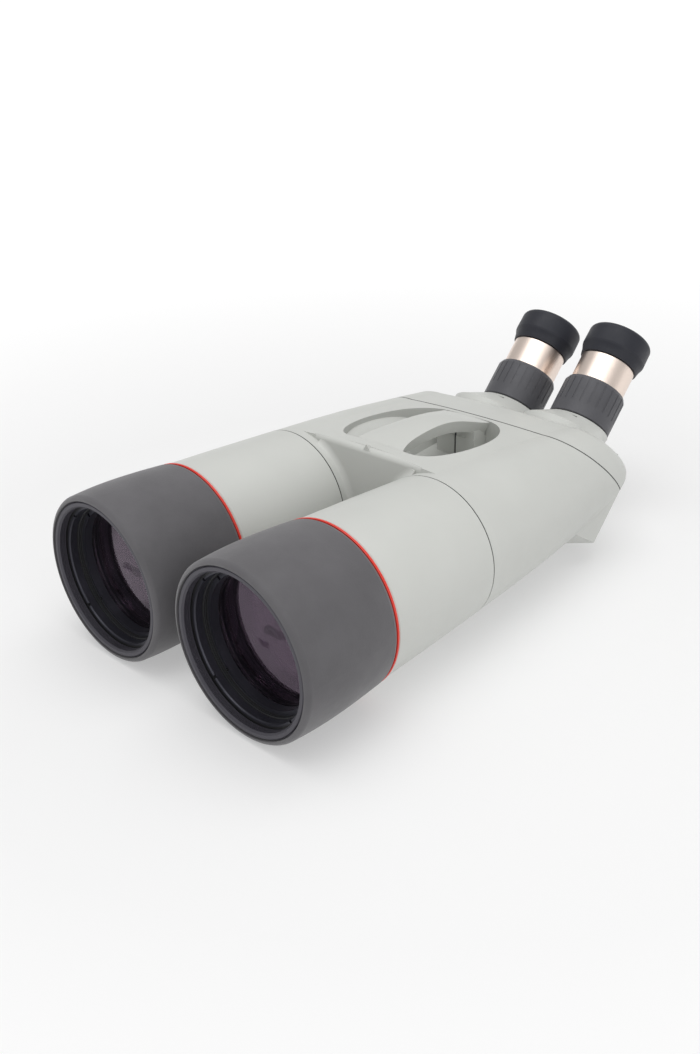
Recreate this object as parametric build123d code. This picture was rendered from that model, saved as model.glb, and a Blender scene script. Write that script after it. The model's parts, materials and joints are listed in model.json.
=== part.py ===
from build123d import *
import math
import os

# Giant twin-tube observation binoculars with 45 degree eyepieces.
# The pieces are drawn in a bench frame in millimetres: the two objective axes lie at
# z = 0, x = +/-TUBE_X, y = 0 is the front rim of the dew shields, and the eyepieces are
# towards +Y.  Everything is then moved so that the mouth of the tripod thread, under
# the foot, is the origin.  "Left" is the user's left hand side (+X), seen from behind.

# ---- driving dimensions -------------------------------------------------------------
TUBE_X = 63.65            # half the distance between the objective axes
AXIS_HEIGHT = 56.5        # objective axes above the underside of the foot
FOOT_Y = 214.0            # tripod thread behind the front rims
CLEAR_R = 41.0            # free radius of each objective, 82 mm across
FILTER_THREAD_R = 47.5    # M95 filter thread in the front of each dew shield

# dew shields (they slide on the front tubes of the barrels)
SHIELD_REAR_Y = 72.0
SHIELD_INNER_R = 50.6
SHIELD_OUTER_R = 52.0
ARMOUR_R = 55.4
ARMOUR_CREST_R = 56.2
GUIDE_R = 50.3            # front tube of the barrel, under the shield
CELL_BORE_R = 46.4

# barrels and body tubes
BARREL_FRONT_Y = 6.4
BARREL_SHOULDER_Y = 72.6
BARREL_SHOULDER_R = 53.1
BARREL_REAR_R = 49.2
BODY_SEAM_Y = 164.2
SEAL_THICKNESS = 0.9
SPIGOT_R = 46.0
SPIGOT_END_Y = 178.0
WALL = 3.2
WEB_Y = 172.0             # front wall between the two body tubes
WEB_BOTTOM_Z = -33.0
CROWN_ANGLE = 4.5         # slope at which the bridge leaves the tubes
BODY_STATIONS = ((WEB_Y, 48.6), (210.0, 46.6), (250.0, 43.6), (291.0, 39.6), (354.0, 33.3))
CHAMBER_Y = 287.0         # front of the prism chamber

# rear housing: v runs down and back, a runs up and back, along the eyepieces
BOX_HALF_WIDTH = 97.5
BOX_BOTTOM_Z = -39.3
CHIN_Y = 262.0
FACET_POINT = (274.0, -19.0)      # y, z of the facet's upper corner on the side face
FACET_NORMAL = (0.44, -0.49, -0.76)
REAR_FACE_V = 243.0
COVER_SEAM_A = 232.0
COVER_FACE_A = 255.3
COVER_EDGE_R = 18.0
GASKET_THICKNESS = 0.9

# hand well and carry handle
WELL_FLOOR_Z = 16.0
POCKET_TOP_Z = 8.0        # roof of the pocket that reaches the handle screws
WELL_OUTLINE = ((22.0, 184.8), (36.0, 188.0), (45.5, 206.0), (48.2, 228.0),
                (46.5, 248.0), (41.0, 264.0), (31.0, 276.0), (21.0, 280.6))
HANDLE_FRONT_Y = 185.3
HANDLE_REAR_Y = 279.0
HANDLE_SECTIONS = (       # y, half width, edge height, ridge height, underside height
    (185.3, 20.6, 49.0, 49.5, 39.2),
    (192.0, 18.4, 51.0, 52.0, 41.0),
    (208.0, 15.6, 52.4, 54.2, 43.4),
    (229.0, 13.6, 52.3, 54.8, 43.3),
    (248.0, 13.8, 50.4, 52.8, 41.4),
    (263.0, 16.8, 46.8, 48.6, 38.0),
    (279.0, 21.0, 42.6, 43.6, 33.6),
)
FRONT_LEDGE_Z = 38.6
REAR_LEDGE_Z = 31.6
LEDGE_HALF_WIDTH = 17.0
LEDGE_LENGTH = 13.0

# eyepiece turrets
PIVOT_X = 33.0
PIVOT_V = 239.9
TURRET_DISC_R = 32.6
TURRET_RIM_A = 262.2
TURRET_TOP_A = 276.9
EYE_X = 32.2
EYE_V = 257.9
LOBE_R = 35.0
SPIGOT_TURRET_R = 22.0
BUSH_R = 25.0
GEAR_PITCH_R = 33.0
GEAR_MODULE = 1.5
GEAR_A = 244.0
GEAR_THICKNESS = 4.5
GEAR_SEAT_R = 19.5

# eyepieces, measured along their axis from the ring seat
RING_SEAT_A = 277.6
FOCUS_RING_R = 24.8
FOCUS_RING_HEIGHT = 32.3
EYE_BARREL_R = 21.8
EYE_BARREL_TOP = 54.8
EYECUP_TOP = 80.7
EYECUP_R = 25.6
FOCUS_GROOVES = 24
GUIDE_TUBE_R = 19.7       # tube of the turret that the ring turns on
LENS_TUBE_R = 16.8
CUP_NECK_R = 18.6

# mounting foot
FOOT_LENGTH = 84.0
FOOT_WIDTH = 54.0
FOOT_FRONT_Y = 178.0
TRIPOD_THREAD_R = 4.7625  # 3/8 inch
SMALL_THREAD_R = 3.175    # 1/4 inch
SMALL_THREAD_OFFSET = 20.0
THREAD_DEPTH = 12.0

PRESS_GAP = 0.05          # radial gap that stands for a light press or thread

S = math.sqrt(2)
BODY_FRAME = Plane(origin=(0, 0, 0), x_dir=(1, 0, 0), z_dir=(0, 1, 1))   # x, v, a
EYE_FRAME = BODY_FRAME * Pos(EYE_X, EYE_V, RING_SEAT_A)
PIVOT_FRAME = BODY_FRAME * Pos(PIVOT_X, PIVOT_V, 0)
PLACE = Location((0, -FOOT_Y, AXIS_HEIGHT))


# ---- drawing helpers ----------------------------------------------------------------
def turned(points, x=TUBE_X):
    """Solid of revolution about an objective axis: points are (radius, y)."""
    face = make_face(Polyline(*points, close=True))
    return Pos(x, 0, 0) * revolve(face, Axis.Y)


def on_axis(points):
    """Solid of revolution about local Z: points are (radius, height)."""
    face = make_face(Polyline(*points, close=True))
    return revolve(Plane.XZ * face, Axis.Z)


def ring_y(outer_r, inner_r, y0, y1):
    return turned([(inner_r, y0), (outer_r, y0), (outer_r, y1), (inner_r, y1)])


def ring_z(outer_r, inner_r, z0, z1):
    return on_axis([(inner_r, z0), (outer_r, z0), (outer_r, z1), (inner_r, z1)])


def disc(radius, z0, z1):
    return Pos(0, 0, (z0 + z1) / 2) * Cylinder(radius, z1 - z0)


def beyond_a(a):
    """Everything further along the eyepiece direction than a."""
    return BODY_FRAME * Pos(0, 240, a + 200) * Box(400, 800, 400)


def beyond_v(v):
    """Everything further down and back than v."""
    return BODY_FRAME * Pos(0, v + 200, 200) * Box(400, 400, 800)


def below_z(z):
    return Pos(0, 250, z - 100) * Box(400, 500, 200)


def socket_screw(radius, head_radius, head_height, length):
    """Socket head cap screw: head above local z = 0, shank below."""
    screw = disc(head_radius, 0, head_height) + disc(radius, -length, 0)
    socket = extrude(RegularPolygon(head_radius * 0.55, 6), head_height * 0.6)
    return screw - Pos(0, 0, head_height * 0.4) * socket


# ---- casting: body and rear cover ------------------------------------------------------
def body_section(y, radius):
    """Closed outline across the body: two tubes joined by a crowned bridge."""
    slope = math.radians(CROWN_ANGLE)
    top = (TUBE_X - radius * math.sin(slope), radius * math.cos(slope))
    crown_radius = top[0] / math.sin(slope)
    crest = top[1] + crown_radius * (1 - math.cos(slope))
    low_z = max(WEB_BOTTOM_Z, -0.992 * radius)
    low = (TUBE_X - math.sqrt(radius**2 - low_z**2), low_z)
    outline = [
        ThreePointArc((-top[0], top[1]), (0, crest), top),
        ThreePointArc(top, (TUBE_X + radius, 0), low),
        Line(low, (-low[0], low[1])),
        ThreePointArc((-low[0], low[1]), (-TUBE_X - radius, 0), (-top[0], top[1])),
    ]
    plane = Plane(origin=(0, y, 0), x_dir=(1, 0, 0), z_dir=(0, -1, 0))
    return plane * make_face(outline)


def prism_box(half_width, bottom_z, rear_v, front_y):
    """Squared lower corners below the tubes, cut off parallel to the eyepieces."""
    corner_y = rear_v * S + bottom_z
    profile = Polyline((front_y, -12), (front_y + 13, bottom_z), (corner_y, bottom_z),
                       (corner_y + 43, bottom_z + 43), (front_y, bottom_z + 43), close=True)
    side = Plane(origin=(0, 0, 0), x_dir=(0, 1, 0), z_dir=(1, 0, 0)) * make_face(profile)
    return extrude(side, half_width, both=True)


def beyond_facet(side, inset):
    """Everything outside the oblique facet that cuts off one outer front corner of the box."""
    plane = Plane(origin=(side * BOX_HALF_WIDTH, *FACET_POINT),
                  z_dir=(side * FACET_NORMAL[0], FACET_NORMAL[1], FACET_NORMAL[2]))
    return plane * Pos(0, 0, 50 - inset) * Box(200, 200, 100)


def faceted_box(inset, front_y):
    """Prism box with its two oblique facets, drawn inward by inset all round."""
    box = prism_box(BOX_HALF_WIDTH - inset, BOX_BOTTOM_Z + inset, REAR_FACE_V - inset, front_y)
    for side in (-1, 1):
        box -= beyond_facet(side, inset)
    return box


def turret_lobes(radius, a0, a1):
    """Rounded boss behind the prism box that carries both turret pivots."""
    outline = SlotCenterToCenter(2 * PIVOT_X, 2 * radius)
    return BODY_FRAME * Pos(0, PIVOT_V, a0) * extrude(outline, a1 - a0)


def outer_form():
    """Outside of the body and rear cover together."""
    form = loft([body_section(y, r) for y, r in BODY_STATIONS])
    form -= beyond_v(REAR_FACE_V)
    form += faceted_box(0, CHIN_Y)
    form -= beyond_a(COVER_FACE_A)
    top_face = form.faces().sort_by(Axis((0, 0, 0), (0, 1, 1)))[-1]
    upper = [e for e in top_face.edges() if e.center().Z > 15]
    form = fillet(upper, COVER_EDGE_R)
    form += turret_lobes(LOBE_R, 174, COVER_FACE_A) - below_z(BOX_BOTTOM_Z)
    return form


def inner_form():
    """Hollow of the prism chamber, open through the cover seam."""
    inset = 4.0
    stations = [(CHAMBER_Y, 40.0 - inset), (354.0, 33.3 - inset)]
    hollow = loft([body_section(y, r) for y, r in stations])
    hollow -= beyond_v(REAR_FACE_V - inset)
    hollow += faceted_box(inset, CHAMBER_Y)
    lobes = turret_lobes(LOBE_R - 3.0, 205, COVER_FACE_A) - below_z(BOX_BOTTOM_Z + inset)
    hollow += lobes
    return hollow - beyond_a(COVER_FACE_A - 5.0)


def tube_solid(inset, y0, y1, x):
    """One body tube, or its bore, between two places along the axis."""
    stations = [(BODY_SEAM_Y, BARREL_REAR_R), *BODY_STATIONS]
    points = [(y, r - inset) for y, r in stations]

    def radius_at(y):
        for (ya, ra), (yb, rb) in zip(points, points[1:]):
            if y <= yb:
                return ra + (rb - ra) * (y - ya) / (yb - ya)
        return points[-1][1]

    inner = [(radius_at(y), y) for y in [y0, *[p[0] for p in points if y0 < p[0] < y1], y1]]
    return turned([(0, y0), *inner, (0, y1)], x)


def well_prism(z0, z1):
    """Plan of the hand well, the two finger slots with the handle between them."""
    right = [*WELL_OUTLINE]
    left = [(-x, y) for x, y in reversed(WELL_OUTLINE)]
    edges = [Spline(*right), Line(right[-1], left[0]), Spline(*left), Line(left[-1], right[0])]
    return Pos(0, 0, z0) * extrude(make_face(edges), z1 - z0)


def hand_well():
    """Hollow under the handle: its side walls are the outsides of the tubes."""
    hollow = well_prism(WELL_FLOOR_Z, 60.0)
    for side in (-1, 1):
        hollow -= tube_solid(0, BODY_SEAM_Y, 300.0, side * TUBE_X)
    front = HANDLE_FRONT_Y - 1.0 + LEDGE_LENGTH / 2
    rear = HANDLE_REAR_Y + 2.0 - LEDGE_LENGTH / 2
    width = 2 * LEDGE_HALF_WIDTH
    hollow -= Pos(0, front, FRONT_LEDGE_Z - 20) * Box(width, LEDGE_LENGTH + 1, 40)
    hollow -= Pos(0, rear, REAR_LEDGE_Z - 20) * Box(width, LEDGE_LENGTH + 3, 40)
    return hollow


def web_front_rounding():
    """What is taken off to round the top front edge of the bridge."""
    r = 4.0
    crest = 50.3
    bar = Pos(0, WEB_Y + r / 2 - 0.5, crest - r / 2 + 0.5) * Box(96, r + 1, r + 1)
    roll = Pos(0, WEB_Y + r, crest - r) * Rot(0, 90, 0) * Cylinder(r, 100)
    return bar - roll


def web_cove(x):
    """Concave fillet where the front wall of the bridge meets one tube."""
    r = 5.0
    tube_r = BODY_STATIONS[0][1] + 0.02
    corner = (tube_r, WEB_Y + 0.2)
    outline = [Line((tube_r + r, WEB_Y), (tube_r + r, WEB_Y + 0.2)), Line((tube_r + r, WEB_Y + 0.2), corner),
               Line(corner, (tube_r, WEB_Y - r)),
               ThreePointArc((tube_r, WEB_Y - r), (tube_r + r * (1 - 0.7071), WEB_Y - r * (1 - 0.7071)),
                             (tube_r + r, WEB_Y))]
    ring = Pos(x, 0, 0) * revolve(make_face(outline), Axis.Y)
    return ring & Pos(0, WEB_Y, (WEB_BOTTOM_Z + 46.5) / 2) * Box(86, 20, 46.5 - WEB_BOTTOM_Z)


def front_sight():
    """Small pointed aiming bump on the front edge of the bridge."""
    outline = Polyline((-4.2, 46.5), (0, 53.4), (4.2, 46.5), close=True)
    base = Plane(origin=(0, WEB_Y + 0.6, 0), x_dir=(1, 0, 0), z_dir=(0, -1, 0))
    return extrude(base * make_face(outline), -7.0, taper=18)


def foot_pocket():
    """Pocket under the bridge, closed by the foot, that reaches the handle screws."""
    front, rear = 186.0, 256.0
    pocket = Pos(0, (front + rear) / 2, POCKET_TOP_Z - 23) * Box(26, rear - front, 46)
    pocket = fillet(pocket.edges().filter_by(Axis.Z), 5.0)
    x, y, _ = handle_screw_places()[1]
    return pocket + Pos(x, y, POCKET_TOP_Z - 25) * Cylinder(3.8, 50)


def foot_screw_places():
    for x in (-20.0, 20.0):
        for y in (10.0, FOOT_LENGTH - 10.0):
            yield x, FOOT_FRONT_Y + y


def handle_screw_places():
    return ((0, HANDLE_FRONT_Y + 6.0, FRONT_LEDGE_Z), (0, HANDLE_REAR_Y - 10.5, REAR_LEDGE_Z))


def cover_screw_places():
    """Places (x, v) of the screws in the rear cover."""
    return ((-84.0, 236.0), (84.0, 236.0), (-54.9, 261.8), (54.9, 261.8), (0, 269.0))


def castings():
    """Body and rear cover, cut from one form so that they are flush at the seam."""
    shell = outer_form() - inner_form()
    for side in (-1, 1):
        x = side * TUBE_X
        shell += turned([(SPIGOT_R, BODY_SEAM_Y), (BARREL_REAR_R, BODY_SEAM_Y),
                         (BODY_STATIONS[0][1], WEB_Y), (SPIGOT_R, WEB_Y)], x)
        shell += web_cove(x)
        shell -= tube_solid(WALL, SPIGOT_END_Y - 1.0, CHAMBER_Y + 4.0, x)
        shell -= Pos(x, (BODY_SEAM_Y + SPIGOT_END_Y) / 2, 0) * Rot(90, 0, 0) * Cylinder(
            SPIGOT_R + 0.05, SPIGOT_END_Y - BODY_SEAM_Y + 2)
    shell -= Pos(0, BODY_SEAM_Y - 5 + SEAL_THICKNESS / 2, 0) * Box(300, 10, 200)
    shell -= hand_well()
    shell -= web_front_rounding()
    shell += front_sight()
    shell -= foot_pocket()
    for x, y in foot_screw_places():
        shell -= Pos(x, y, WEB_BOTTOM_Z + 5) * Cylinder(1.6, 12)
    for x, y, z in handle_screw_places():
        shell -= Pos(x, y, z - 20) * Cylinder(2.1, 44)
    for x, v in cover_screw_places():
        boss = BODY_FRAME * Pos(x, v, 0) * disc(3.8, COVER_SEAM_A - 16, COVER_FACE_A - 3)
        shell += boss - below_z(BOX_BOTTOM_Z)
    for x, v in cover_screw_places():
        shell -= BODY_FRAME * Pos(x, v, 0) * disc(1.7, COVER_SEAM_A - 12, COVER_FACE_A + 1)
        shell -= BODY_FRAME * Pos(x, v, 0) * disc(3.2, COVER_FACE_A - 3.4, COVER_FACE_A + 5)
    body = shell - beyond_a(COVER_SEAM_A - GASKET_THICKNESS / 2)
    cover = shell & beyond_a(COVER_SEAM_A + GASKET_THICKNESS / 2)
    for side in (-1, 1):
        cover -= BODY_FRAME * Pos(side * PIVOT_X, PIVOT_V, 0) * disc(BUSH_R, 245, 260)
    return body, cover


def carry_handle():
    """Arched, waisted bar with an end block at each end that stands on a ledge."""
    sections = []
    for y, half, edge, ridge, under in HANDLE_SECTIONS:
        outline = [
            ThreePointArc((-half, edge), (0, ridge), (half, edge)),
            Line((half, edge), (half * 0.8, under)),
            Line((half * 0.8, under), (-half * 0.8, under)),
            Line((-half * 0.8, under), (-half, edge)),
        ]
        plane = Plane(origin=(0, y, 0), x_dir=(1, 0, 0), z_dir=(0, -1, 0))
        sections.append(plane * make_face(outline))
    bar = loft(sections)
    length = LEDGE_LENGTH - 1.0
    width = 2 * LEDGE_HALF_WIDTH
    front_top = 45.0
    rear_top = 38.0
    bar += Pos(0, HANDLE_FRONT_Y + length / 2, (FRONT_LEDGE_Z + front_top) / 2) * Box(
        width, length, front_top - FRONT_LEDGE_Z)
    bar += Pos(0, HANDLE_REAR_Y - length / 2, (REAR_LEDGE_Z + rear_top) / 2) * Box(
        width, length, rear_top - REAR_LEDGE_Z)
    for x, y, z in handle_screw_places():
        bar -= Pos(x, y, z) * Cylinder(1.7, 14)
    return bar


def handle_screws():
    """Two cap screws up through the ledges into the handle's end blocks."""
    screws = []
    for x, y, z in handle_screw_places():
        length = z - POCKET_TOP_Z + 6.0
        screws.append(Pos(x, y, POCKET_TOP_Z) * Rot(180, 0, 0) * socket_screw(1.7, 3.3, 3.4, length))
    return Compound(children=screws)


def cover_gasket():
    """Flat gasket in the seam between body and rear cover."""
    slab = BODY_FRAME * Pos(0, 240, COVER_SEAM_A) * Box(400, 300, GASKET_THICKNESS)
    outside = outer_form() & slab
    gasket = outside - inner_form()
    for x, v in cover_screw_places():
        gasket -= BODY_FRAME * Pos(x, v, 0) * disc(1.9, 200, 260)
    return gasket


def cover_screws():
    screws = []
    for x, v in cover_screw_places():
        place = BODY_FRAME * Pos(x, v, COVER_FACE_A - 3.4)
        screws.append(place * socket_screw(1.65, 3.0, 3.0, 22.0))
    return Compound(children=screws)


# ---- objective end -----------------------------------------------------------------------
def barrel():
    """Tapered tube with a plain front tube for the dew shield and a rear spigot."""
    body = turned([
        (CELL_BORE_R, BARREL_FRONT_Y), (GUIDE_R, BARREL_FRONT_Y),
        (GUIDE_R, BARREL_SHOULDER_Y), (BARREL_SHOULDER_R - 0.6, BARREL_SHOULDER_Y),
        (BARREL_SHOULDER_R, BARREL_SHOULDER_Y + 0.8), (51.55, 114.0), (50.45, 138.0),
        (BARREL_REAR_R, BODY_SEAM_Y - SEAL_THICKNESS / 2),
        (SPIGOT_R, BODY_SEAM_Y - SEAL_THICKNESS / 2), (SPIGOT_R, SPIGOT_END_Y - 1.2),
        (SPIGOT_R - 2.4, SPIGOT_END_Y - 1.2), (SPIGOT_R - 2.4, BODY_SEAM_Y - 6.0),
        (CELL_BORE_R - 0.4, 150.0), (CELL_BORE_R, 90.0),
    ])
    groove = ring_y(GUIDE_R + 1, GUIDE_R - 0.8, 34.0, 38.0)
    return body - groove


def barrel_seal():
    return ring_y(BARREL_REAR_R - 0.35, SPIGOT_R + 0.02, BODY_SEAM_Y - SEAL_THICKNESS / 2,
                  BODY_SEAM_Y + SEAL_THICKNESS / 2)


def shield_guide():
    """Friction ring in the barrel's groove that the dew shield slides on."""
    return ring_y(SHIELD_INNER_R - 0.05, GUIDE_R - 0.75, 34.1, 37.9)


def dew_shield():
    """Metal sleeve with the filter thread in its front flange."""
    tooth = 0.35
    points = [(SHIELD_INNER_R, SHIELD_REAR_Y - 1.6), (SHIELD_INNER_R, 5.8),
              (FILTER_THREAD_R, 5.8), (FILTER_THREAD_R, 1.2),
              (FILTER_THREAD_R + 1.0, 0.0), (50.6, 0.0), (51.2, 0.6), (51.2, 1.6),
              (SHIELD_OUTER_R, 1.6), (SHIELD_OUTER_R, SHIELD_REAR_Y - 1.6)]
    sleeve = turned(points)
    for turn in range(3):
        y = 2.0 + 1.1 * turn
        sleeve -= turned([(FILTER_THREAD_R - 1, y), (FILTER_THREAD_R + tooth, y + 0.15),
                          (FILTER_THREAD_R + tooth, y + 0.4), (FILTER_THREAD_R - 1, y + 0.55)])
    return sleeve


def shield_armour():
    """Rubber cover of the dew shield: barrel shaped, with rounded ends."""
    r0 = SHIELD_OUTER_R + 0.02
    end = SHIELD_REAR_Y - 1.6
    outline = [
        Line((r0, -0.6), (r0, end)),
        Line((r0, end), (r0 + 0.6, end)),
        RadiusArc((r0 + 0.6, end), (54.2, end - 3.4), 4.2),
        Spline((54.2, end - 3.4), (ARMOUR_R, 50.0), (ARMOUR_CREST_R, 27.0), (55.3, 3.2)),
        RadiusArc((55.3, 3.2), (r0, -0.6), 3.6),
    ]
    return Pos(TUBE_X, 0, 0) * revolve(make_face(outline), Axis.Y)


def accent_ring():
    """Thin red ring behind the armour, at the rear edge of the dew shield."""
    return turned([(SHIELD_INNER_R, SHIELD_REAR_Y - 1.6), (53.6, SHIELD_REAR_Y - 1.6),
                   (53.8, SHIELD_REAR_Y - 1.2), (53.8, SHIELD_REAR_Y - 0.4),
                   (53.4, SHIELD_REAR_Y), (SHIELD_INNER_R, SHIELD_REAR_Y)])


def lens_cell():
    """Cell that holds the objective lenses in the barrel's bore."""
    outer = CELL_BORE_R - PRESS_GAP
    return turned([(43.9, 13.2), (44.8, 12.1), (outer, 12.1), (outer, 60.0), (41.5, 60.0),
                   (41.5, 46.4), (43.9, 46.4)])


def front_ring():
    """Threaded ring that clamps the cell in the barrel, with spanner notches."""
    outer = CELL_BORE_R - PRESS_GAP
    ring = turned([(44.6, 7.4), (45.1, 6.5), (outer, 6.5), (outer, 12.0), (44.5, 12.0)])
    return notched(ring, 45.6, 6.5)


def lens_ring():
    """Threaded ring that clamps the objective lenses in the cell."""
    half = CLEAR_R
    ring = turned([(half + 0.3, 15.4), (43.86, 15.4), (43.86, 21.0), (half - 0.1, 21.0)])
    return notched(ring, 43.0, 15.4)


def notched(ring, radius, y):
    notch_depth = 1.4
    for i in range(4):
        angle = math.radians(45 + 90 * i)
        place = Pos(TUBE_X + radius * math.cos(angle), y, radius * math.sin(angle))
        ring -= place * Rot(0, -math.degrees(angle), 0) * Box(3.2, 2 * notch_depth, 2.2)
    return ring


def lens(radius, front_y, edge, front_curve, rear_curve):
    """Lens with spherical faces: positive curve bulges forward, negative backward."""
    def face_arc(y, curve, sign):
        def sag(r):
            return math.copysign(abs(curve) - math.sqrt(curve**2 - r**2), curve)
        crown = sag(radius)
        return ThreePointArc((0, y - sign * crown), (radius / 2, y - sign * (crown - sag(radius / 2))),
                             (radius, y))

    front = face_arc(front_y, front_curve, 1)
    rear = face_arc(front_y + edge, rear_curve, -1)
    outline = [front, rear, Line(front @ 0, rear @ 0), Line(front @ 1, rear @ 1)]
    return Pos(TUBE_X, 0, 0) * revolve(make_face(outline), Axis.Y)


def front_lens():
    return lens(43.8, 21.5, 8.8, 420.0, 600.0)


def lens_spacer():
    """Thin ring that keeps the two lens groups apart."""
    return ring_y(43.8, 41.6, 30.6, 33.4)


def rear_lens():
    return lens(43.8, 33.5, 12.8, -600.0, 2000.0)


def baffle_tube():
    """Blackened tube behind the objective with three knife-edge stops."""
    outer = 43.2
    tube = ring_y(outer, outer - 1.2, 66.0, 172.0)
    tube += ring_y(CELL_BORE_R - PRESS_GAP, outer - 1.2, 62.0, 66.0)
    for y, r in ((66.0, 39.5), (112.0, 35.5), (171.0, 30.5)):
        tube += turned([(r, y), (outer, y - 1.0), (outer, y + 1.0), (r, y + 0.4)])
    return tube


# ---- prisms ---------------------------------------------------------------------------------
def main_prism():
    """Erecting prism: light enters along +Y and leaves along the eyepieces."""
    outline = Polyline((289.0, -15.5), (289.0, 15.5), (297.2, 16.0), (320.6, -7.4),
                       (308.0, -24.5), (294.0, -24.5), close=True)
    side = Plane(origin=(TUBE_X, 0, 0), x_dir=(0, 1, 0), z_dir=(1, 0, 0)) * make_face(outline)
    prism = extrude(side, 16.0, both=True)
    return chamfer(prism.edges().filter_by(Axis.X), 0.6)


def prism_holder():
    """Cradle screwed to the floor of the prism chamber."""
    cradle = Pos(TUBE_X, 295.5, -21.0) * Box(38.0, 7.0, 32.0)
    cradle &= Pos(TUBE_X, 295.5, 0) * Rot(90, 0, 0) * Cylinder(34.5, 7.0)
    outline = Polyline((280.0, -24.5), (330.0, -24.5), (330.0, 20.0), (280.0, 20.0), close=True)
    room = Plane(origin=(TUBE_X, 0, 0), x_dir=(0, 1, 0), z_dir=(1, 0, 0)) * make_face(outline)
    return cradle - extrude(room, 16.05, both=True)


def relay_prism():
    """Rhomboid prism that carries the light across to the turret pivot."""
    start = Vector(TUBE_X, 215.0)
    end = Vector(PIVOT_X, PIVOT_V)
    shift = (end - start).length
    angle = math.degrees(math.atan2(end.Y - start.Y, end.X - start.X))
    half, height, base = 10.0, 19.0, 223.0
    outline = Polyline((-half, 0), (shift - half + 0.5, 0), (shift + half, height),
                       (half - 0.5, height), close=True)
    block = extrude(Plane.XZ * make_face(outline), 11.0, both=True)
    return BODY_FRAME * Pos(start.X, start.Y, base) * Rot(0, 0, angle) * block


# ---- eyepiece turret ------------------------------------------------------------------------
def turret():
    """Rotating housing: pivot spigot, disc, and an oblique neck up to the eyepiece."""
    shift = Vector(EYE_X - PIVOT_X, EYE_V - PIVOT_V)
    low = Pos(0, 0, TURRET_RIM_A) * Circle(TURRET_DISC_R - 0.6)
    high = Pos(shift.X, shift.Y, TURRET_TOP_A) * Circle(FOCUS_RING_R + 0.5)
    plate = disc(TURRET_DISC_R, COVER_FACE_A + 0.4, TURRET_RIM_A)
    plate = chamfer(plate.edges().group_by(Axis.Z)[-1], 0.6)
    housing = plate + loft([low, high])
    housing += disc(SPIGOT_TURRET_R, GEAR_A + GEAR_THICKNESS + 0.1, COVER_FACE_A + 2.0)
    housing += disc(GEAR_SEAT_R, GEAR_A, GEAR_A + GEAR_THICKNESS + 0.5)
    housing += Pos(shift.X, shift.Y, 0) * disc(FOCUS_RING_R - 1.2, TURRET_TOP_A - 0.5, RING_SEAT_A)
    housing += Pos(shift.X, shift.Y, 0) * disc(GUIDE_TUBE_R, RING_SEAT_A - 1, RING_SEAT_A + 24.0)
    housing -= disc(15.0, GEAR_A - 1, TURRET_RIM_A)
    room_half = 12.5
    angle = math.degrees(math.atan2(shift.Y, shift.X))
    room = Pos(shift.length / 2, 0, TURRET_RIM_A + 2.0) * Box(shift.length + 25, 2 * room_half, 18.0)
    housing -= Rot(0, 0, angle) * room
    housing -= Pos(shift.X, shift.Y, 0) * disc(15.0, TURRET_RIM_A, RING_SEAT_A + 1)
    housing -= Pos(shift.X, shift.Y, 0) * disc(17.4, RING_SEAT_A, RING_SEAT_A + 25.0)
    return PIVOT_FRAME * housing


def turret_prism():
    """Rhomboid prism in the turret, from the pivot axis to the eyepiece axis."""
    shift = Vector(EYE_X - PIVOT_X, EYE_V - PIVOT_V)
    angle = math.degrees(math.atan2(shift.Y, shift.X))
    half, height, base = 8.0, 15.6, 256.6
    outline = Polyline((-half, 0), (shift.length - half + 0.4, 0), (shift.length + half, height),
                       (half - 0.4, height), close=True)
    block = extrude(Plane.XZ * make_face(outline), 11.5, both=True)
    return PIVOT_FRAME * Pos(0, 0, base) * Rot(0, 0, angle) * block


def turret_bush():
    """Plain bearing in the cover for the turret's spigot."""
    bush = ring_z(BUSH_R, SPIGOT_TURRET_R + 0.05, GEAR_A + GEAR_THICKNESS + 0.5, COVER_FACE_A)
    return PIVOT_FRAME * bush


def gear_sector(direction, phase):
    """Toothed sector on the turret's spigot that meshes with its neighbour.

    direction is where the mesh point lies, phase is 0 for a tooth there, 0.5 for a gap."""
    teeth = round(2 * GEAR_PITCH_R / GEAR_MODULE)
    pitch = 2 * math.pi / teeth
    root = GEAR_PITCH_R - 1.9
    tip = GEAR_PITCH_R + 1.1
    half_span = 5
    wedge = Polyline((0, 0), (40, -40 * math.tan(half_span * pitch)),
                     (40, 40 * math.tan(half_span * pitch)), close=True)
    sector = disc(root, 0, GEAR_THICKNESS) & extrude(make_face(wedge), GEAR_THICKNESS)
    for i in range(-half_span + 1, half_span):
        root_half, tip_half = 1.35, 0.45
        tooth = Polyline((root - 0.5, -root_half), (tip, -tip_half), (tip, tip_half),
                         (root - 0.5, root_half), close=True)
        sector += Rot(0, 0, math.degrees((i + phase) * pitch)) * extrude(
            make_face(tooth), GEAR_THICKNESS)
    sector += disc(27.0, 0, GEAR_THICKNESS)
    sector -= disc(GEAR_SEAT_R + PRESS_GAP, -1, GEAR_THICKNESS + 1)
    return Pos(0, 0, GEAR_A) * Rot(0, 0, direction) * sector


# ---- eyepiece ---------------------------------------------------------------------------------
def focus_ring():
    """Grooved ring at the foot of the eyepiece."""
    r, top = FOCUS_RING_R, FOCUS_RING_HEIGHT
    bore, upper_bore = GUIDE_TUBE_R + 0.1, EYE_BARREL_R + 0.35
    ring = on_axis([(bore, 0.5), (r - 0.5, 0.5), (r, 1.0), (r, top - 2.8), (r - 1.4, top),
                    (upper_bore, top), (upper_bore, 9.0), (bore, 9.0)])
    for i in range(FOCUS_GROOVES):
        groove = Pos(r + 0.35, 0, 22.5) * Box(1.4, 1.5, 24.0)
        ring -= Rot(0, 0, 360 * i / FOCUS_GROOVES) * groove
    return EYE_FRAME * ring


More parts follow.
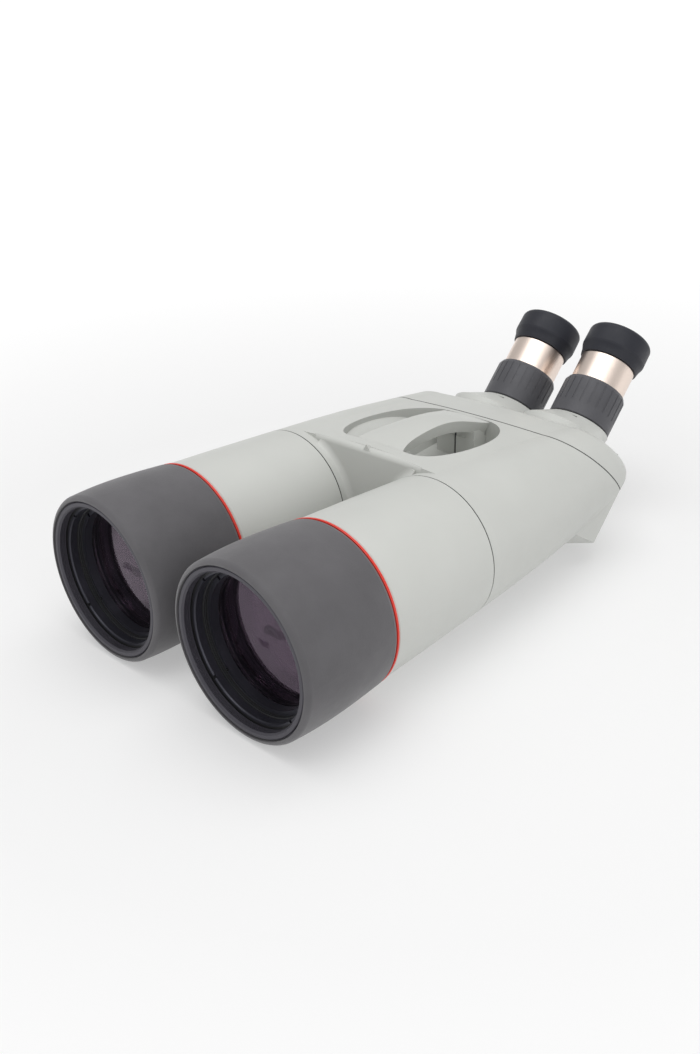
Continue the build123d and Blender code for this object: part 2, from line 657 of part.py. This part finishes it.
def eyepiece_barrel():
    """Sliding eyepiece body: outer skirt, inner lens tube and the neck for the eyecup."""
    r, top = EYE_BARREL_R, EYE_BARREL_TOP
    skirt, neck, tube = GUIDE_TUBE_R + 0.35, CUP_NECK_R, LENS_TUBE_R
    shell = on_axis([(skirt, 15.0), (r, 15.0), (r, top - 0.5), (r - 0.5, top), (neck, top),
                     (neck, 66.0), (neck - 2.4, 66.0), (neck - 2.4, 51.0), (tube - 2.0, 51.0),
                     (tube - 2.0, 21.0), (tube, 21.0), (tube, 48.0), (skirt, 48.0)])
    return EYE_FRAME * shell


def eyepiece_lenses():
    """Field lens at the bottom of the lens tube and eye lens under the eyecup."""
    field_r = LENS_TUBE_R - 2.1
    eye_r = CUP_NECK_R - 2.5
    field = disc(field_r, 23.0, 28.0) + (Pos(0, 0, 23.0 + 48.0) * Sphere(50.0) & disc(field_r, 21.0, 28.0))
    eye = disc(eye_r, 57.0, 62.0) + (Pos(0, 0, 62.0 - 74.0) * Sphere(76.0) & disc(eye_r - 2.4, 60.0, 65.0))
    return EYE_FRAME * Compound([*field.solids(), *eye.solids()])


def eyecup():
    """Rubber eyecup: cone at the foot, straight band, rounded lip, open inside."""
    base = EYE_BARREL_TOP + 0.4
    inner = CUP_NECK_R + 0.1
    crease = (EYECUP_R - 0.3, base + 7.6)
    lip = (EYECUP_R - 0.2, EYECUP_TOP - 4.2)
    crown = (EYECUP_R - 3.8, EYECUP_TOP - 0.3)
    outline = [
        Line((inner, base), (23.1, base)),
        Line((23.1, base), (23.5, base + 1.8)),
        RadiusArc((23.5, base + 1.8), crease, 20),
        Line(crease, (EYECUP_R, base + 9.0)),
        Line((EYECUP_R, base + 9.0), lip),
        RadiusArc(lip, crown, -4.6),
        RadiusArc(crown, (EYECUP_R - 5.4, EYECUP_TOP - 2.6), -2.4),
        Line((EYECUP_R - 5.4, EYECUP_TOP - 2.6), (inner + 0.6, 68.5)),
        Line((inner + 0.6, 68.5), (inner - 2.0, 67.5)),
        Line((inner - 2.0, 67.5), (inner - 2.0, 66.2)),
        Line((inner - 2.0, 66.2), (inner, 66.2)),
        Line((inner, 66.2), (inner, base)),
    ]
    face = Plane.XZ * make_face(outline)
    return EYE_FRAME * revolve(face, Axis.Z)


# ---- mounting foot ----------------------------------------------------------------------------
def foot_centre():
    return FOOT_FRONT_Y + FOOT_LENGTH / 2


def mounting_foot():
    """Cast foot under the bridge: a flat sole with rounded corners and a threaded bush."""
    sole_z = -AXIS_HEIGHT
    height = WEB_BOTTOM_Z - sole_z
    lower = Pos(0, foot_centre(), sole_z + 5.0) * Box(FOOT_WIDTH + 6, FOOT_LENGTH, 10.0)
    lower = fillet(lower.edges().filter_by(Axis.Z), 8.0)
    lower = chamfer(lower.edges().group_by(Axis.Z)[0], 1.0)
    upper = Pos(0, foot_centre(), sole_z + height / 2) * Box(FOOT_WIDTH - 4, FOOT_LENGTH, height)
    upper = fillet(upper.edges().filter_by(Axis.Z), 6.0)
    foot = lower + upper
    for side in (-1, 1):
        foot -= tube_solid(-0.4, 170.0, 300.0, side * TUBE_X)
    foot -= Pos(0, FOOT_Y, sole_z) * Cylinder(9.0, 40)
    foot -= Pos(0, FOOT_Y + SMALL_THREAD_OFFSET, sole_z) * Cylinder(SMALL_THREAD_R, 2 * THREAD_DEPTH)
    for x, y in foot_screw_places():
        foot -= Pos(x, y, sole_z + height / 2) * Cylinder(1.9, height + 2)
        foot -= Pos(x, y, sole_z) * Cylinder(3.4, 2 * (height - 9.0))
    return foot


def thread_bush():
    """Steel bush with the tripod thread, set flush into the sole."""
    sole_z = -AXIS_HEIGHT
    bush = Pos(0, FOOT_Y, sole_z + 9.9) * Cylinder(8.98, 19.8)
    bore = Pos(0, FOOT_Y, sole_z) * Cylinder(TRIPOD_THREAD_R, 2 * THREAD_DEPTH)
    return bush - bore


def foot_screws():
    sole_z = -AXIS_HEIGHT
    head_z = WEB_BOTTOM_Z - 9.0
    screws = []
    for x, y in foot_screw_places():
        place = Pos(x, y, head_z) * Rot(180, 0, 0)
        screws.append(place * socket_screw(1.55, 3.0, 3.0, 14.5))
    return Compound(children=screws)


# ---- writing ----------------------------------------------------------------------------------
def write(name, shape):
    shape = PLACE * shape
    print(name, shape.is_valid, len(shape.solids()), round(shape.volume))
    export_step(shape, f"parts/{name}.step")


def write_pair(name, shape):
    write(f"left_{name}", shape)
    write(f"right_{name}", Compound([mirror(solid, about=Plane.YZ) for solid in shape.solids()]))


def main():
    os.makedirs("parts", exist_ok=True)
    body, cover = castings()
    write("main_body", body)
    write("rear_cover", cover)
    write("rear_cover_gasket", cover_gasket())
    write("rear_cover_screws", cover_screws())
    write("carry_handle", carry_handle())
    write("handle_screws", handle_screws())
    write("mounting_foot", mounting_foot())
    write("foot_screws", foot_screws())
    write("tripod_thread_bush", thread_bush())
    pieces = {
        "barrel": barrel, "barrel_seal": barrel_seal, "shield_guide_ring": shield_guide,
        "dew_shield": dew_shield, "shield_armour": shield_armour, "accent_ring": accent_ring,
        "lens_cell": lens_cell, "cell_ring": front_ring, "lens_ring": lens_ring,
        "front_lens": front_lens, "lens_spacer": lens_spacer, "rear_lens": rear_lens,
        "baffle_tube": baffle_tube, "main_prism": main_prism, "prism_holder": prism_holder,
        "relay_prism": relay_prism, "turret": turret, "turret_prism": turret_prism,
        "turret_bush": turret_bush, "focus_ring": focus_ring,
        "eyepiece_barrel": eyepiece_barrel, "eyepiece_lenses": eyepiece_lenses,
        "eyecup": eyecup,
    }
    for name, make in pieces.items():
        write_pair(name, make())
    left_gear = PIVOT_FRAME * gear_sector(180, 0.0)
    right_gear = BODY_FRAME * Pos(-PIVOT_X, PIVOT_V, 0) * gear_sector(0, 0.5)
    write("left_turret_gear", left_gear)
    write("right_turret_gear", right_gear)


main()
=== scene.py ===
"""Looks of the twin-tube observation binoculars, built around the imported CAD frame."""
import bpy
import bmesh
import json
import math
from mathutils import Matrix, Vector


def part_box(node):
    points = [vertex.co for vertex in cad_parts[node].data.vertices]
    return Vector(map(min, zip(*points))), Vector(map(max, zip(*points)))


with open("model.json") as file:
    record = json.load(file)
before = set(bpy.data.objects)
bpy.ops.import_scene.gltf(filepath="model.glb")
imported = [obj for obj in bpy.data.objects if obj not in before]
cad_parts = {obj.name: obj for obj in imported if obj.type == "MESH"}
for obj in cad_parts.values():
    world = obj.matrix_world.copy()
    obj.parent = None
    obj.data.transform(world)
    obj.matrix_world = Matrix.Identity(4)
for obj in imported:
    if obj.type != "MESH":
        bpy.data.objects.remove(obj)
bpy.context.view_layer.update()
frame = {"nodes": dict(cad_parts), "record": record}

LATHE = (1.0, 12.0, 1.0)        # texture stretch: marks squeezed along the tube
PLAIN = (1.0, 1.0, 1.0)         # texture stretch: marks the same size every way
WAVE_UNIT = math.pi / 10.0      # wave texture scale that gives one band a metre
BORE_BLACK = (0.012, 0.012, 0.013, 1.0)
TUBE_WALL = 0.0035              # a little less than the wall: the whole bore is black
FACE_DEPTH = 0.0003             # depth of the end face that is black too


# ---- shader helpers -----------------------------------------------------------------
class Shader:
    """A principled material with short helpers for its node tree."""

    def __init__(self, name, color, roughness=0.5, metallic=0.0, specular=0.5):
        self.mat = bpy.data.materials.new(name)
        self.mat.use_nodes = True
        self.tree = self.mat.node_tree
        self.bsdf = self.tree.nodes["Principled BSDF"]
        self.set("Base Color", (*color, 1.0))
        self.set("Roughness", roughness)
        self.set("Metallic", metallic)
        self.set("Specular IOR Level", specular)
        self.place = self.node("ShaderNodeTexCoord").outputs["Object"]
        self.height = None

    def node(self, kind, **values):
        made = self.tree.nodes.new(kind)
        for key, value in values.items():
            if hasattr(made, key):
                setattr(made, key, value)
            else:
                made.inputs[key.replace("_", " ").title()].default_value = value
        return made

    def link(self, start, end):
        self.tree.links.new(start, end)

    def set(self, socket, value):
        self.bsdf.inputs[socket].default_value = value

    def noise(self, scale, detail=4.0, roughness=0.55, stretch=PLAIN):
        texture = self.node("ShaderNodeTexNoise", scale=scale, detail=detail, roughness=roughness)
        mapping = self.node("ShaderNodeMapping")
        mapping.inputs["Scale"].default_value = stretch
        self.link(self.place, mapping.inputs["Vector"])
        self.link(mapping.outputs["Vector"], texture.inputs["Vector"])
        return texture.outputs["Fac"]

    def cells(self, scale):
        texture = self.node("ShaderNodeTexVoronoi", scale=scale)
        self.link(self.place, texture.inputs["Vector"])
        return texture.outputs["Distance"]

    def spread(self, value, low, high, start=0.0, end=1.0):
        """Map a texture value from start..end to low..high."""
        remap = self.node("ShaderNodeMapRange")
        limits = {"From Min": start, "From Max": end, "To Min": low, "To Max": high}
        for key, number in limits.items():
            remap.inputs[key].default_value = number
        self.link(value, remap.inputs["Value"])
        return remap.outputs["Result"]

    def tint(self, value, dark, light):
        """Base colour that runs from dark to light with a texture value."""
        mix = self.node("ShaderNodeMix", data_type="RGBA")
        mix.inputs["A"].default_value = (*dark, 1.0)
        mix.inputs["B"].default_value = (*light, 1.0)
        self.link(value, mix.inputs["Factor"])
        self.link(mix.outputs["Result"], self.bsdf.inputs["Base Color"])
        return mix

    def bump(self, value, distance, strength=1.0):
        bump = self.node("ShaderNodeBump")
        bump.inputs["Strength"].default_value = strength
        bump.inputs["Distance"].default_value = distance
        self.link(value, bump.inputs["Height"])
        if self.height is not None:
            self.link(self.height, bump.inputs["Normal"])
        self.height = bump.outputs["Normal"]
        self.link(self.height, self.bsdf.inputs["Normal"])

    def rough(self, value, low, high, start=0.3, end=0.7):
        self.link(self.spread(value, low, high, start, end), self.bsdf.inputs["Roughness"])


def scaled(color, factor):
    return tuple(min(1.0, c * factor) for c in color)


# ---- materials ------------------------------------------------------------------------
def paint(name="body_paint", bore=None):
    """Satin, very finely textured light grey paint.

    bore is (centre, radius, front) of a tube whose paint stops at its front edge: it is
    black inside the radius and ahead of the front plane.
    """
    base = (0.532, 0.540, 0.515)
    s = Shader(name, base, 0.46, specular=0.45)
    drift = s.noise(14.0, 3.0)
    grey = s.tint(s.spread(drift, 0, 1, 0.3, 0.7), scaled(base, 0.965), scaled(base, 1.02))
    if bore:
        centre, radius, front = bore
        from_axis = s.node("ShaderNodeVectorMath", operation="SUBTRACT")
        from_axis.inputs[1].default_value = centre
        s.link(s.place, from_axis.inputs[0])
        flat = s.node("ShaderNodeVectorMath", operation="MULTIPLY")
        flat.inputs[1].default_value = (1.0, 0.0, 1.0)
        s.link(from_axis.outputs["Vector"], flat.inputs[0])
        length = s.node("ShaderNodeVectorMath", operation="LENGTH")
        s.link(flat.outputs["Vector"], length.inputs[0])
        inside = s.node("ShaderNodeMath", operation="LESS_THAN")
        inside.inputs[1].default_value = radius
        s.link(length.outputs["Value"], inside.inputs[0])
        split = s.node("ShaderNodeSeparateXYZ")
        s.link(s.place, split.inputs["Vector"])
        ahead = s.node("ShaderNodeMath", operation="LESS_THAN")
        ahead.inputs[1].default_value = front
        s.link(split.outputs["Y"], ahead.inputs[0])
        either = s.node("ShaderNodeMath", operation="MAXIMUM")
        s.link(inside.outputs["Value"], either.inputs[0])
        s.link(ahead.outputs["Value"], either.inputs[1])
        mix = s.node("ShaderNodeMix", data_type="RGBA")
        s.link(either.outputs["Value"], mix.inputs["Factor"])
        s.link(grey.outputs["Result"], mix.inputs["A"])
        mix.inputs["B"].default_value = BORE_BLACK
        s.link(mix.outputs["Result"], s.bsdf.inputs["Base Color"])
    grain = s.noise(2600.0, 3.0)
    s.bump(grain, 0.00006, 0.55)
    s.rough(s.noise(60.0, 4.0), 0.40, 0.50)
    return s.mat


def rubber(name, color, grain_scale, depth, roughness=0.62, sheen=0.15):
    """Moulded rubber with a fine matt grain."""
    s = Shader(name, color, roughness, specular=0.35)
    s.set("Sheen Weight", sheen)
    s.set("Sheen Roughness", 0.5)
    drift = s.noise(30.0, 4.0)
    s.tint(s.spread(drift, 0, 1, 0.3, 0.7), scaled(color, 0.88), scaled(color, 1.12))
    s.bump(s.noise(grain_scale, 5.0, 0.65), depth, 0.6)
    s.bump(s.cells(grain_scale * 0.45), depth * 0.6, 0.4)
    s.rough(s.noise(90.0, 3.0), roughness - 0.07, roughness + 0.07)
    return s.mat


def metal(name, color, roughness, stretch, grain=900.0, depth=0.00002, metallic=1.0):
    """Turned metal: fine marks that run round the axis."""
    s = Shader(name, color, roughness, metallic)
    marks = s.noise(grain, 3.0, 0.6, stretch)
    s.tint(s.spread(marks, 0, 1, 0.3, 0.7), scaled(color, 0.97), scaled(color, 1.02))
    s.bump(marks, depth, 0.3)
    s.rough(s.noise(40.0, 3.0), roughness - 0.03, roughness + 0.03)
    return s.mat


def ribbed(name, color, roughness, pitch, depth):
    """Black lining with fine rings across the axis of the tube, like a thread, with painted shade
    in the grooves and painted highlight on the crests.
    """
    s = Shader(name, color, roughness, 0.0, 0.3)
    wave = s.node("ShaderNodeTexWave", wave_type="BANDS", bands_direction="Y")
    wave.inputs["Scale"].default_value = WAVE_UNIT / pitch
    s.link(s.place, wave.inputs["Vector"])
    s.bump(wave.outputs["Fac"], depth, 1.0)
    # painted shade and highlight: the rings are darker in their grooves and lighter on their
    # crests, following the bump
    s.tint(wave.outputs["Fac"], scaled(color, 0.5), scaled(color, 1.5))
    s.rough(s.noise(120.0, 3.0), roughness - 0.05, roughness + 0.05)
    return s.mat


def enamel():
    s = Shader("red_enamel", (0.66, 0.028, 0.014), 0.35)
    s.rough(s.noise(200.0, 3.0), 0.3, 0.42)
    s.bump(s.noise(1500.0, 2.0), 0.00002, 0.4)
    return s.mat


def lens_glass():
    """Coated objective glass: little reflection, with a faint purple tone from the coating; its
    dark transmission tint is painted shade that darkens the view down the tube.
    """
    # painted shade: the glass is tinted dark, so what is seen through it reads dark
    s = Shader("coated_glass", (0.46, 0.40, 0.45), 0.02, specular=0.08)
    s.set("Transmission Weight", 1.0)
    s.set("IOR", 1.5)
    s.set("Specular Tint", (0.75, 0.45, 0.80, 1.0))
    s.rough(s.noise(40.0, 2.0), 0.012, 0.03)
    return s.mat


def prism_glass():
    s = Shader("prism_glass", (0.86, 0.92, 0.94), 0.02)
    s.set("Transmission Weight", 1.0)
    s.set("IOR", 1.57)
    s.rough(s.noise(40.0, 2.0), 0.01, 0.03)
    return s.mat


def felt():
    s = Shader("black_felt", (0.02, 0.02, 0.02), 0.95)
    s.set("Sheen Weight", 0.4)
    s.bump(s.noise(3000.0, 4.0), 0.0002, 0.9)
    return s.mat


MATERIALS = {
    "body_paint": paint(),
    "armour_rubber": rubber("armour_rubber", (0.087, 0.084, 0.090), 1500.0, 0.00012, 0.66, 0.25),
    "eyecup_rubber": rubber("eyecup_rubber", (0.013, 0.014, 0.021), 1800.0, 0.00006, 0.55, 0.08),
    "focus_rubber": rubber("focus_rubber", (0.070, 0.070, 0.078), 1800.0, 0.00006, 0.5, 0.1),
    "dark_rubber": rubber("dark_rubber", (0.02, 0.02, 0.02), 1500.0, 0.0001, 0.7),
    "black_felt": felt(),
    "black_anodised": metal("black_anodised", (0.022, 0.022, 0.024), 0.36, LATHE, metallic=0.35),
    "flat_black": metal("flat_black", (0.010, 0.010, 0.011), 0.75, PLAIN, metallic=0.0),
    "red_enamel": enamel(),
    "coated_glass": lens_glass(),
    "prism_glass": prism_glass(),
    "bronze": metal("bronze", (0.50, 0.33, 0.16), 0.35, PLAIN),
    "gear_brass": metal("gear_brass", (0.66, 0.50, 0.22), 0.3, PLAIN),
    "champagne_metal": metal("champagne_metal", (0.86, 0.74, 0.66), 0.36, PLAIN, 2600.0, 0.00001),
    "dark_steel": metal("dark_steel", (0.09, 0.09, 0.095), 0.38, PLAIN),
    "steel": metal("steel", (0.5, 0.5, 0.51), 0.3, (1, 1, 8)),
}
RING_BLACK = metal("ring_black", (0.040, 0.040, 0.052), 0.34, LATHE, metallic=0.55)
FLANGE_BLACK = metal("flange_black", (0.058, 0.055, 0.068), 0.45, LATHE, metallic=0.3)
CELL_LINING = ribbed("cell_lining", (0.012, 0.012, 0.014), 0.45, 0.0012, 0.0004)


def barrel_paint(name):
    """Paint of one barrel, black on its inner wall and on its front end face."""
    low, high = (Vector(corner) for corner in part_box(name))
    guide = name.replace("barrel", "shield_guide_ring")
    guide_low, guide_high = (Vector(corner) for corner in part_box(guide))
    outside = (guide_high.x - guide_low.x) / 2
    local = frame["nodes"][name].matrix_world.inverted()
    centre = local @ ((low + high) / 2)
    front = (local @ low).y + FACE_DEPTH
    return paint(name + "_paint", (centre, outside - TUBE_WALL, front))


BARRELS = {name: barrel_paint(name) for name in ("left_barrel", "right_barrel")}
NODE_MATERIALS = {
    "cell_ring": RING_BLACK,
    "lens_ring": RING_BLACK,
    "dew_shield": FLANGE_BLACK,
    "lens_cell": CELL_LINING,
}


def dress_frame():
    """Give each CAD node the material of its slot, or its own finish."""
    slots = {entry["node"]: entry["material_slot"] for entry in frame["record"]["subparts"]}
    for name, node in frame["nodes"].items():
        node.data.materials.clear()
        piece = name.partition("_")[2]
        finish = NODE_MATERIALS.get(piece, MATERIALS[slots[name]])
        finish = BARRELS.get(name, finish)
        node.data.materials.append(finish)


# ---- stage ------------------------------------------------------------------------------
def make_floor():
    """A grey sheet that lies flat under the object and rises gently far away. Its painted glow is
    stronger farther out, so it reads white and the shadows on it stay pale.
    """
    flat, rim, rise = 3.0, 9.0, 0.9
    steps, around = 12, 48
    mesh = bpy.data.meshes.new("floor")
    form = bmesh.new()
    rings = []
    for step in range(steps + 1):
        radius = flat + (rim - flat) * step / steps
        height = rise * ((radius - flat) / (rim - flat)) ** 2
        rings.append([form.verts.new((radius * math.cos(turn), radius * math.sin(turn), height))
                      for turn in (math.tau * i / around for i in range(around))])
    form.faces.new(rings[0])
    for inner, outer in zip(rings, rings[1:]):
        for i in range(around):
            j = (i + 1) % around
            form.faces.new((inner[i], outer[i], outer[j], inner[j]))
    form.to_mesh(mesh)
    form.free()
    floor = bpy.data.objects.new("floor", mesh)
    floor.location.z = -0.0005
    bpy.context.collection.objects.link(floor)
    s = Shader("floor_painted_glow", (0.5, 0.5, 0.5), 0.85)
    # painted light: the floor glows, from 0.36 near the centre to 0.80 far out, so it reads white
    # beyond the lamps and its shadows stay pale
    distance = s.node("ShaderNodeVectorMath", operation="LENGTH")
    s.link(s.place, distance.inputs["Vector"])
    glow = s.node("ShaderNodeCombineColor")
    level = s.spread(distance.outputs["Value"], 0.36, 0.80, 0.35, 1.6)
    for channel in ("Red", "Green", "Blue"):
        s.link(level, glow.inputs[channel])
    s.link(glow.outputs["Color"], s.bsdf.inputs["Emission Color"])
    s.set("Emission Strength", 1.0)
    s.bump(s.noise(300.0, 2.0), 0.00005, 0.2)
    mesh.materials.append(s.mat)


def area_light(name, place, target, size, power):
    data = bpy.data.lights.new(name, "AREA")
    data.shape = "RECTANGLE"
    data.size, data.size_y = size
    data.energy = power
    lamp = bpy.data.objects.new(name, data)
    lamp.location = place
    lamp.rotation_mode = "QUATERNION"
    lamp.rotation_quaternion = (Vector(target) - Vector(place)).to_track_quat("-Z", "Y")
    bpy.context.collection.objects.link(lamp)


def make_light():
    world = bpy.data.worlds.new("studio")
    bpy.context.scene.world = world
    world.use_nodes = True
    sky = world.node_tree.nodes["Background"]
    sky.inputs["Color"].default_value = (1.0, 1.0, 1.0, 1.0)
    sky.inputs["Strength"].default_value = 0.52
    middle = (0.0, 0.0, 0.05)
    area_light("top_box", (0.1, -0.1, 1.6), middle, (1.6, 1.6), 17.0)
    area_light("left_box", (1.5, -0.7, 0.9), middle, (0.9, 1.4), 6.0)
    area_light("front_box", (-0.7, -1.7, 0.8), middle, (1.2, 0.9), 2.2)


def make_camera():
    """Three-quarter view from the front left of the object, slightly above."""
    data = bpy.data.cameras.new("camera")
    data.sensor_width = 36.0
    data.lens = 36.55
    data.clip_start, data.clip_end = 0.01, 50.0
    camera = bpy.data.objects.new("camera", data)
    azimuth, elevation, roll = (math.radians(a) for a in (44.63, 25.91, -2.03))
    back = Vector((math.sin(azimuth) * math.cos(elevation),
                   -math.cos(azimuth) * math.cos(elevation), math.sin(elevation)))
    right = Vector((math.cos(azimuth), math.sin(azimuth), 0.0))
    up = back.cross(right)
    tilted_right = math.cos(roll) * right + math.sin(roll) * up
    tilted_up = -math.sin(roll) * right + math.cos(roll) * up
    turn = Matrix((tilted_right, tilted_up, back)).transposed()
    camera.matrix_world = Matrix.Translation((0.45415, -0.51947, 0.36975)) @ turn.to_4x4()
    bpy.context.collection.objects.link(camera)
    bpy.context.scene.camera = camera


make_camera()
make_floor()
make_light()
dress_frame()

bpy.context.scene.view_settings.view_transform = "Standard"
